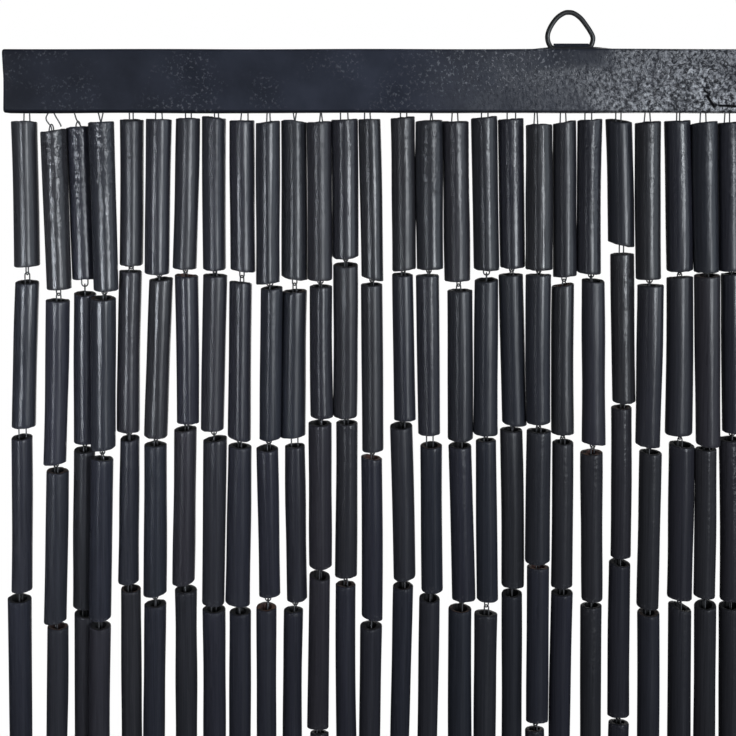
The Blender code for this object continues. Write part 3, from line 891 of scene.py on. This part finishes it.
RING_X = CURTAIN_WIDTH / 2 - RING_PLACE
RING_SIDES = 20

# The left ring's wire, as it was bent: x and z from the middle of its straight bar, in millimetres
RING_ROUTE = [
    (-6.6, 0.0), (-7.9, 0.5), (-8.8, 1.7), (-9.4, 3.4), (-9.5, 5.3), (-8.9, 7.5), (-7.5, 10.1),
    (-5.5, 12.5), (-3.0, 14.1), (-1.1, 14.4), (1.0, 14.0), (3.6, 12.2), (5.9, 9.4), (7.8, 6.6),
    (8.7, 4.7), (8.7, 3.1), (8.2, 1.5), (7.3, 0.5), (6.2, 0.0),
]

# The height of a ring's straight bar, as the ring's inner top is at the origin's height
BAR_HEIGHT = RING_WIRE / 2 - max(z for x, z in RING_ROUTE) * MM


def add_ring(name, mirror, material):
    turns = len(RING_ROUTE)
    loop = smooth([[RING_ROUTE[(start + k) % turns] for k in (-1, 0, 1, 2)] for start in range(turns)], 6)
    place = -mirror * RING_X
    count = len(loop)
    points = []
    for index, (x, z) in enumerate(loop):
        before = Vector(loop[index - 1])
        after = Vector(loop[(index + 1) % count])
        ahead = (after - before).normalized()
        for side in range(RING_SIDES):
            a = 2 * math.pi * side / RING_SIDES
            out = math.cos(a) * RING_WIRE / 2
            points.append((
                place + mirror * (x * MM - ahead.y * out),
                math.sin(a) * RING_WIRE / 2,
                BAR_HEIGHT + z * MM + ahead.x * out,
            ))
    quads = ring_quads(count, RING_SIDES, True)
    if mirror < 0:
        quads = quads[:, ::-1]
    ring = mesh_object(name, np.array(points), quads, [material])
    ring.data.shade_smooth()
    return ring


def strap_outline():
    """The folded strap in y and z about the ring's bar: up behind the rail, over the bar, and down."""
    tail_front = -EYE_INNER + GAP
    tail_back = tail_front + STRAP_THICKNESS
    fold = [math.pi - FOLD_STEP * step for step in range(FOLD_STEPS + TUCK_STEPS + 1)]
    outline = [(-EYE_OUTER, -STRAP_LENGTH)]
    outline += [(EYE_OUTER * math.cos(a), EYE_OUTER * math.sin(a)) for a in fold]
    outline += [(tail_back, -EYE_OUTER - STRAP_THICKNESS), (tail_back, -STRAP_TAIL)]
    outline += [(tail_front, -STRAP_TAIL), (tail_front, -EYE_OUTER)]
    outline += [(EYE_INNER * math.cos(a), EYE_INNER * math.sin(a)) for a in reversed(fold)]
    outline += [(-EYE_INNER, -STRAP_LENGTH)]
    return outline


def add_strap(name, mirror, material):
    """The folded outline drawn out to the strap's width, with both ends closed."""
    outline = strap_outline()
    count = len(outline)
    points = [
        (side * STRAP_WIDTH / 2 - mirror * RING_X, y, BAR_HEIGHT + z)
        for side in (-1, 1) for y, z in outline
    ]
    faces = [tuple(range(count)), tuple(range(2 * count - 1, count - 1, -1))]
    for corner in range(count):
        following = (corner + 1) % count
        faces.append((following, corner, corner + count, following + count))
    mesh = bpy.data.meshes.new(name)
    mesh.from_pydata(points, [], faces)
    mesh.materials.append(material)
    return place_object(name, mesh)


# Materials

class Nodes:
    """A short way to wire up the nodes of a material or of the world."""

    def __init__(self, owner):
        owner.use_nodes = True
        self.owner = owner
        self.tree = owner.node_tree

    def fill(self, node, values):
        """Give a node's inputs, by name or number, a plain number, a colour or another node's output."""
        for key, value in values.items():
            if isinstance(value, bpy.types.NodeSocket):
                self.tree.links.new(value, node.inputs[key])
            else:
                node.inputs[key].default_value = (*value, 1.0) if isinstance(value, tuple) else value

    def add(self, kind, values, **settings):
        node = self.tree.nodes.new(kind)
        for key, value in settings.items():
            setattr(node, key, value)
        self.fill(node, values)
        return node

    def finish(self, values):
        """Fill the material's shader, and hand the material back."""
        self.fill(self.tree.nodes["Principled BSDF"], values)
        return self.owner

    def noise(self, scale, detail=3.0, rough=0.55):
        """Noise as fine as one scale, or as a scale for each of x, y and z."""
        stretch, scale = (scale, 1.0) if isinstance(scale, tuple) else ((1, 1, 1), scale)
        place = self.add("ShaderNodeTexCoord", {})
        mapping = self.add("ShaderNodeMapping", {"Vector": place.outputs["Object"]})
        mapping.inputs["Scale"].default_value = stretch
        values = {"Vector": mapping.outputs["Vector"], "Scale": scale, "Detail": detail, "Roughness": rough}
        return self.add("ShaderNodeTexNoise", values).outputs["Fac"]

    def ramp(self, source, stops):
        node = self.add("ShaderNodeValToRGB", {"Fac": source})
        band = node.color_ramp
        while len(band.elements) < len(stops):
            band.elements.new(0.5)
        for element, (place, colour) in zip(band.elements, stops):
            element.position = place
            element.color = (*colour, 1.0) if isinstance(colour, tuple) else (colour,) * 3 + (1.0,)
        return node.outputs["Color"]

    def math(self, operation, first, second=0.0):
        return self.add("ShaderNodeMath", {0: first, 1: second}, operation=operation).outputs[0]

    def times(self, first, *others):
        for other in others:
            first = self.math("MULTIPLY", first, other)
        return first

    def most(self, first, *others):
        for other in others:
            first = self.math("MAXIMUM", first, other)
        return first

    def mix(self, share, first, second, blend="MIX"):
        values = {0: share, 6: first, 7: second}
        return self.add("ShaderNodeMix", values, data_type="RGBA", blend_type=blend).outputs[2]

    def shade(self, colour, *factors):
        """A colour times one factor after another."""
        for factor in factors:
            colour = self.mix(1.0, colour, factor, "MULTIPLY")
        return colour

    def axis(self, name):
        """One of the coordinates in the curtain's own frame."""
        place = self.add("ShaderNodeTexCoord", {})
        return self.add("ShaderNodeSeparateXYZ", {"Vector": place.outputs["Object"]}).outputs[name]

    def range(self, source, low, high, to_low=0.0, to_high=1.0):
        values = {"Value": source, "From Min": low, "From Max": high, "To Min": to_low, "To Max": to_high}
        return self.add("ShaderNodeMapRange", values).outputs["Result"]

    def steps(self, source, stops):
        """A value that follows straight lines between (place, value) pairs, the places rising."""
        low, high = stops[0][0], stops[-1][0]
        return self.ramp(self.range(source, low, high), [((x - low) / (high - low), y) for x, y in stops])

    def stroke(self, side, high, start, stop, half):
        """A short straight stroke on the front, full inside and fading at its edges."""
        length = math.dist(start, stop)
        ahead = ((stop[0] - start[0]) / length, (stop[1] - start[1]) / length)
        right = self.math("SUBTRACT", side, start[0])
        up = self.math("SUBTRACT", high, start[1])
        along = self.math("ADD", self.times(right, ahead[0]), self.times(up, ahead[1]))
        off = self.math("SUBTRACT", self.times(up, ahead[0]), self.times(right, ahead[1]))
        inside = self.range(self.math("ABSOLUTE", off), half, half * 0.5)
        middle = self.math("ABSOLUTE", self.math("SUBTRACT", along, length / 2))
        return self.times(inside, self.range(middle, length / 2, length * 0.35))

    def bump(self, height, strength, distance):
        values = {"Height": height, "Strength": strength, "Distance": distance}
        return self.add("ShaderNodeBump", values).outputs["Normal"]

    def marks(self):
        """What the tubes' points carry: tint, place along the tube, knobs and raw bamboo."""
        node = self.add("ShaderNodeAttribute", {}, attribute_name="marks")
        parts = self.add("ShaderNodeSeparateColor", {"Color": node.outputs["Color"]})
        return (*parts.outputs, node.outputs["Alpha"])


def material_nodes(name):
    return Nodes(bpy.data.materials.new(name))


# The tubes' charcoals, each with its place among the tints, and the dust by their ends
CHARCOALS = [
    (0.0, (0.0175, 0.0187, 0.0252)), (0.25, (0.0200, 0.0201, 0.0278)), (0.45, (0.0190, 0.0195, 0.0228)),
    (0.62, (0.0222, 0.0210, 0.0262)), (0.8, (0.0170, 0.0187, 0.0250)), (1.0, (0.0210, 0.0207, 0.0238)),
]
DUST = (0.085, 0.085, 0.090)

# Painted light and shade by height and towards the left end, and the tubes' shine by height, as (metres,
# value)
PAINTED_LIGHT_BY_HEIGHT = [
    (-0.60, 1.02), (-0.34, 0.97), (-0.28, 1.03), (-0.23, 1.24), (-0.17, 1.36), (-0.10, 1.12),
]
PAINTED_LIGHT_BY_LEFT = [(-0.45, 1.16), (-0.33, 1.0)]
SHINE_BY_HEIGHT = [
    (-0.52, 0.38), (-0.33, 0.10), (-0.22, 0.09), (-0.185, 0.13), (-0.163, 0.27), (-0.135, 0.30),
    (-0.108, 0.50),
]

# Heights of the tubes' relief, in millimetres
SPECK_HEIGHT = 0.48
FACET_HEIGHT = 0.17
FIBRE_HEIGHT = 0.045
GRAIN_HEIGHT = 0.055


def tube_relief(n, along, knobs, facets, fibre):
    """The height of the tubes' skin: specks on knobbly paint, flat facets, fibres and grain."""
    speck = n.noise(560, 2.0, 0.55)
    reach = n.times(knobs, n.range(along, 0.35, 0.95, 1.0, 0.0))
    patch = n.times(n.range(n.noise(160, 2.0, 0.5), 0.35, 0.6, 0.25, 1.0), reach)
    grain = n.noise((900, 900, 260), 2.0, 0.5)
    height = n.times(speck, patch, SPECK_HEIGHT)
    for part, much in ((facets, FACET_HEIGHT), (fibre, FIBRE_HEIGHT), (grain, GRAIN_HEIGHT)):
        height = n.math("ADD", height, n.times(part, much))
    return height


def tube_paint():
    """Near-black satin paint over lengthwise bamboo fibres, a different charcoal on each tube."""
    n = material_nodes("tube_paint")
    tint, along, knobs, _ = n.marks()
    level = n.axis("Z")
    fibre = n.noise((1900, 1900, 28), 4.0, 0.6)
    facets = n.noise((430, 430, 18), 1.0, 0.5)
    broad = n.noise((330, 330, 24), 2.0, 0.5)
    streaks = n.range(fibre, 0.3, 0.7, 0.72, 1.22)
    # Painted light and shade: the tubes' colour is lighter at some heights than at others
    painted_light_by_height = n.steps(level, PAINTED_LIGHT_BY_HEIGHT)
    # Painted light: the tubes' colour is lighter towards the left end
    painted_light_by_left = n.steps(n.axis("X"), PAINTED_LIGHT_BY_LEFT)
    colour = n.shade(n.ramp(tint, CHARCOALS), streaks, painted_light_by_height, painted_light_by_left)
    by_ends = n.most(n.range(along, 0.07, 0.0), n.range(along, 0.95, 1.0))
    dusty = n.times(by_ends, n.range(n.noise(1150, 2.0, 0.6), 0.54, 0.70, 0.0, 0.8))
    gloss = n.math("FRACT", n.times(tint, 7.3))
    sheen = n.math("ADD", n.range(broad, 0.3, 0.7, -0.04, 0.06), n.range(gloss, 0.0, 1.0, 0.235, 0.355))
    rough_area = n.times(knobs, n.range(along, 0.3, 0.8, 1.0, 0.0))
    relief = tube_relief(n, along, knobs, facets, fibre)
    return n.finish({
        "Base Color": n.mix(dusty, colour, DUST),
        "Specular IOR Level": n.steps(level, SHINE_BY_HEIGHT),
        "Roughness": n.math("SUBTRACT", sheen, n.times(rough_area, 0.01)),
        "Normal": n.bump(relief, 1.0, MM),
    })


def tube_cut():
    """Cut ends: matt overspray on rough grain, with raw brown bamboo showing here and there."""
    n = material_nodes("tube_cut")
    bare = n.marks()[-1]
    show = n.times(n.range(bare, 0.25, 0.9), n.range(n.noise(500, 3.0, 0.6), 0.40, 0.55))
    speck = n.noise(1500, 2.0, 0.6)
    dust = n.ramp(speck, [(0.35, (0.016, 0.016, 0.018)), (0.65, (0.034, 0.033, 0.034))])
    return n.finish({
        "Base Color": n.mix(show, dust, (0.17, 0.09, 0.062)),
        "Roughness": 0.6,
        "Normal": n.bump(speck, 0.6, 0.15 * MM),
    })


def tube_bore():
    """The hollow inside: nearly black, a little brown where no paint got in."""
    n = material_nodes("tube_bore")
    raw = n.noise(400, 3.0, 0.6)
    show = n.times(n.range(n.marks()[-1], 0.55, 1.0), raw)
    return n.finish({
        "Base Color": n.mix(show, (0.006, 0.006, 0.0065), (0.26, 0.10, 0.075)),
        "Roughness": 0.8,
        "Normal": n.bump(raw, 0.4, 0.1 * MM),
    })


def rail_coat(n, out, high):
    """How thick the rail's paint is: thickest at the middle of the curtain, and thin under each ring."""
    drift = n.range(n.noise(45, 3.0, 0.6), 0.32, 0.62, 0.6, 1.2)
    from_ring = n.math("ABSOLUTE", n.math("SUBTRACT", out, RING_X))
    beside = n.range(from_ring, 2 * MM, 20 * MM)
    below = n.range(high, RAIL_TOP - 9 * MM, RAIL_TOP - 3 * MM, 1.0, 0.0)
    return n.times(n.range(out, THIN_PAINT, THICK_PAINT), drift, n.most(beside, below, 0.35))


def rail_glints_and_scuffs(n, out, high, thick, flecks):
    """Where pale flecks show as painted glints on the thick paint, and faint scuffs in the thin paint."""
    coat = n.times(thick, thick, n.steps(out, GLINTS_BY_PLACE))
    low = n.range(high, RAIL_BOTTOM + 3 * MM, RAIL_TOP - 4 * MM, 1.0, 0.55)
    glints_and_scuffs = n.times(n.range(flecks, 0.43, 0.65), coat, low)
    scuffs = n.range(n.noise((700, 700, 640), 2.0, 0.7), 0.55, 0.70, 0.0, 0.17)
    where = n.range(n.noise((40, 40, 60), 2.0, 0.5), 0.46, 0.62, 0.0, 0.6)
    upper = n.range(high, RAIL_BOTTOM + 5 * MM, RAIL_BOTTOM + 11 * MM, 0.1, 1.0)
    return n.most(glints_and_scuffs, n.times(scuffs, n.most(where, n.times(n.steps(out, SCUFFS_BY_PLACE), upper))))


def rail_dents_and_edge_shade(n, out, side, high, thick, flecks):
    """Where the paint is dark: pits, cracks and the chips; and painted shade along the lower edge."""
    pits = n.times(n.range(flecks, 0.42, 0.30, 0.0, 0.5), thick)
    ridge = n.math("ABSOLUTE", n.math("SUBTRACT", n.noise((230, 230, 300), 1.5, 0.5), 0.5))
    cracks = n.times(n.range(ridge, 0.005, 0.022, 0.8, 0.0), n.range(out, 0.215, 0.175))
    # Painted shade along the rail's lower edge
    edge = n.range(high, RAIL_BOTTOM + 0.3 * MM, RAIL_BOTTOM + 1.3 * MM, 0.75, 0.0)
    return n.most(pits, cracks, edge, *(n.stroke(side, high, *chip) for chip in CHIPS))


def rail_paint():
    """Blue-grey paint on wood: smooth and matt by the ends; thick, glossy and flecked with painted glints
    along the middle.
    """
    n = material_nodes("rail_paint")
    side, high = n.axis("X"), n.axis("Z")
    out = n.math("ABSOLUTE", side)
    flecks = n.noise((640, 640, 600), 2.5, 0.75)
    thick = rail_coat(n, out, high)
    glints_and_scuffs = rail_glints_and_scuffs(n, out, high, thick, flecks)
    dents_and_edge_shade = rail_dents_and_edge_shade(n, out, side, high, thick, flecks)
    colour = n.shade(n.ramp(n.noise(60, 4.0, 0.6), RAIL_COLOURS), n.steps(out, RAIL_BY_PLACE))
    # The pale flecks laid over the paint are painted glints
    for share, coat in ((thick, THICK_COLOUR), (glints_and_scuffs, GLINT_AND_SCUFF_COLOUR), (dents_and_edge_shade, DENT_AND_SHADE_COLOUR)):
        colour = n.mix(share, colour, coat)
    gloss = n.range(thick, 0.0, 0.8, 0.10, 0.8)
    lumps = n.times(n.noise((600, 600, 420), 4.0, 0.65), thick)
    return n.finish({
        "Base Color": colour,
        "Roughness": n.range(thick, 0.0, 0.7, 0.5, 0.2),
        "Specular IOR Level": n.times(gloss, n.range(dents_and_edge_shade, 0.0, 1.0, 1.0, 0.1)),
        "Normal": n.bump(n.math("SUBTRACT", n.math("ADD", lumps, glints_and_scuffs), dents_and_edge_shade), 1.0, 0.55 * MM),
    })


def dark_steel(name, colour, roughness, metallic):
    n = material_nodes(name)
    grain = n.noise(900, 3.0, 0.6)
    return n.finish({
        "Base Color": n.mix(grain, colour, tuple(c * 1.6 for c in colour)),
        "Roughness": n.range(grain, 0.3, 0.7, roughness - 0.08, roughness + 0.1),
        "Metallic": metallic,
        "Normal": n.bump(grain, 0.2, 0.05 * MM),
    })


def floor_paint():
    n = material_nodes("floor_paint")
    colour = n.ramp(n.noise(3, 3.0, 0.5), [(0.3, (0.78, 0.77, 0.75)), (0.7, (0.82, 0.81, 0.79))])
    return n.finish({"Base Color": colour, "Roughness": 0.8})


# Camera, light and floor

def add_camera():
    camera = bpy.data.cameras.new("camera")
    camera.lens = LENS
    camera.sensor_width = SENSOR
    thing = place_object("camera", camera)
    thing.location = (
        -CURTAIN_WIDTH / 2 + EYE_ACROSS,
        STRAND_PLANE - EYE_DISTANCE,
        RAIL_BOTTOM - EYE_BELOW_RAIL,
    )
    thing.rotation_euler = (math.pi / 2 - EYE_TILT, 0.0, 0.0)
    bpy.context.scene.camera = thing


WHITE = (1.0, 1.0, 1.0)
WORLD_TINT = (0.92, 0.96, 1.0)
WORLD_DIM = 0.22
WORLD_GLOSSY = 0.04


def add_world():
    """White behind the curtain, and dim all round it, so that the tubes' edges stay dark."""
    world = bpy.data.worlds.new("studio")
    bpy.context.scene.world = world
    n = Nodes(world)
    n.tree.nodes.clear()
    rays = n.add("ShaderNodeLightPath", {}).outputs

    def background(colour, strength):
        return n.add("ShaderNodeBackground", {"Color": colour, "Strength": strength}).outputs[0]

    def choose(ray, other, chosen):
        return n.add("ShaderNodeMixShader", {0: rays[ray], 1: other, 2: chosen}).outputs[0]

    unlit = choose("Is Glossy Ray", background(WORLD_TINT, WORLD_DIM), background(WHITE, WORLD_GLOSSY))
    seen = choose("Is Camera Ray", unlit, background(WHITE, 1.0))
    n.add("ShaderNodeOutputWorld", {"Surface": seen})
    bpy.context.scene.view_settings.view_transform = "Standard"


FLOOR_HALF = 3.2
FLOOR_BELOW = 25 * MM


def add_floor():
    mesh = bpy.data.meshes.new("floor")
    low = -CURTAIN_DROP - FLOOR_BELOW
    corners = [(x * FLOOR_HALF, y * FLOOR_HALF, low) for x, y in ((-1, -1), (1, -1), (1, 1), (-1, 1))]
    mesh.from_pydata(corners, [], [(0, 1, 2, 3)])
    mesh.materials.append(floor_paint())
    place_object("floor", mesh)


# The right-hand strip stands far off, on an arc about the part of the strands that the eye faces
STRIP_FAR = 4.4
STRIP_TURN = math.radians(33.5)
FACED = -CURTAIN_WIDTH / 2 + EYE_ACROSS
STRIP_X = FACED + STRIP_FAR * math.sin(STRIP_TURN)
STRIP_Y = STRAND_PLANE - STRIP_FAR * math.cos(STRIP_TURN)
LEFT_SPREAD = math.radians(27.6)

# Each light: where it stands, what it faces, its width and height, its watts and its colour
LIGHTS = {
    "strip_right": (
        (STRIP_X, STRIP_Y, -0.04), (FACED, STRAND_PLANE, -0.10), (0.48, 1.30), 74, (0.90, 0.95, 1.0),
    ),
    "strip_left": (
        (-0.87, -1.0, -0.205), (-0.50, STRAND_PLANE, -0.10), (0.11, 0.25), 0.158, (0.86, 0.92, 1.0),
    ),
    "front": ((0.85, -3.4, 0.3), (0, 0, -0.3), (2.4, 1.9), 12, (0.84, 0.91, 1.0)),
    "window": ((2.9, -1.3, 0.3), (0, 0, -0.2), (2.2, 1.9), 22, (0.78, 0.89, 1.0)),
    "side": ((-2.2, -1.4, 0.1), (-0.3, 0, -0.2), (1.6, 1.6), 7, WHITE),
    "back": ((0.4, 3.0, -0.2), (0, 0, -1.0), (2.4, 2.0), 25, WHITE),
}


def add_softbox(name, place, target, size, power, colour):
    light = bpy.data.lights.new(name, "AREA")
    light.shape = "RECTANGLE"
    light.size, light.size_y = size
    light.energy = power
    light.color = colour
    thing = place_object(name, light)
    thing.location = place
    thing.rotation_euler = (Vector(target) - Vector(place)).to_track_quat("-Z", "Y").to_euler()
    thing.visible_camera = False
    return thing


def add_lights():
    """Two strips for the streaks down the tubes, and wide soft fields for the tone beside them."""
    made = {name: add_softbox(name, *light) for name, light in LIGHTS.items()}
    made["strip_left"].data.spread = LEFT_SPREAD
    made["side"].visible_glossy = False


# The whole scene

def dress(piece, material_slot, *nodes):
    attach(piece, "root")
    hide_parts(*nodes)


def is_close(strand, row):
    """Whether the camera sees a tube well enough for its fine mesh."""
    return strand["index"] < CLOSE_STRANDS and row < CLOSE_ROWS


def finish_tubes(strand):
    """Note how knobbly, how bare and how slantwise cut a strand's tubes are, where the tables say."""
    index = strand["index"]
    for row, tube in enumerate(strand["tubes"]):
        tube["knobs"] = KNOBBLY.get((index, row), 0.0)
        tube["bare"] = BARE.get((index, row), 0.0)
        if index < len(CUTS) and row < ROWS:
            tube["cuts"] = (CUTS[index] + (0.0,))[2 * row:2 * row + 2]
            tube["tipped"] = TIPPED[row]


def strand_wires(strand, dice):
    """All the wires of one strand, each with whether the camera sees it well."""
    index = strand["index"]
    wires = []
    for row in range(len(strand["tubes"]) - 1):
        close = is_close(strand, row)
        routes = joint_wires(strand, row, dice, CLOSE_BENDS if close else FAR_BENDS)
        if (index, row) in LEGS:
            routes = two_legs(strand, row, LEGS[index, row], CLOSE_BENDS)
        wires += [(close, route) for route in routes]
    close = is_close(strand, 0)
    roots = root_wires(strand, dice, ROOT_STEPS if close else 1)
    if index in CURLS:
        roots = curl_wires(strand)
    return wires + [(close, route) for route in roots]


def add_strands():
    strands = lay_out_strands()
    paint = [tube_paint(), tube_cut(), tube_bore()]
    wire = dark_steel("wire_steel", (0.055, 0.055, 0.058), 0.42, 0.5)
    edges = [round(STRANDS * number / PANELS) for number in range(PANELS + 1)]
    dice = random.Random(SEED + 2)
    for number, (first, last) in enumerate(zip(edges, edges[1:]), start=1):
        tubes = {True: [], False: []}
        routes = {True: [], False: []}
        for strand in strands[first:last]:
            finish_tubes(strand)
            for row, tube in enumerate(strand["tubes"]):
                tubes[is_close(strand, row)].append(tube)
            for close, route in strand_wires(strand, dice):
                routes[close].append(route)
        node = f"strand_panel_{number}"
        for close, name, wire_sides, seed, *mesh in MESHES:
            if tubes[close]:
                made = add_tubes(f"{name}tubes_{number}", tubes[close], *mesh, seed + number, paint)
                dress(made, "tube_paint", node)
                made = add_wires(f"{name}wires_{number}", routes[close], wire_sides, wire)
                dress(made, "ring_steel", node)


def main():
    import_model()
    add_camera()
    add_world()
    add_lights()
    add_floor()

    paint = rail_paint()
    rail = add_rail(paint)
    dress(rail, "rail_paint", "head_rail")
    steel = dark_steel("ring_steel", (0.045, 0.045, 0.045), 0.38, 0.6)
    for side, mirror in (("left", 1.0), ("right", -1.0)):
        ring = add_ring(f"ring_{side}", mirror, steel)
        dress(ring, "ring_steel", f"hanger_ring_{side}")
        strap = add_strap(f"strap_{side}", mirror, paint)
        dress(strap, "strap_steel", f"hanger_strap_{side}")
    add_strands()


main()
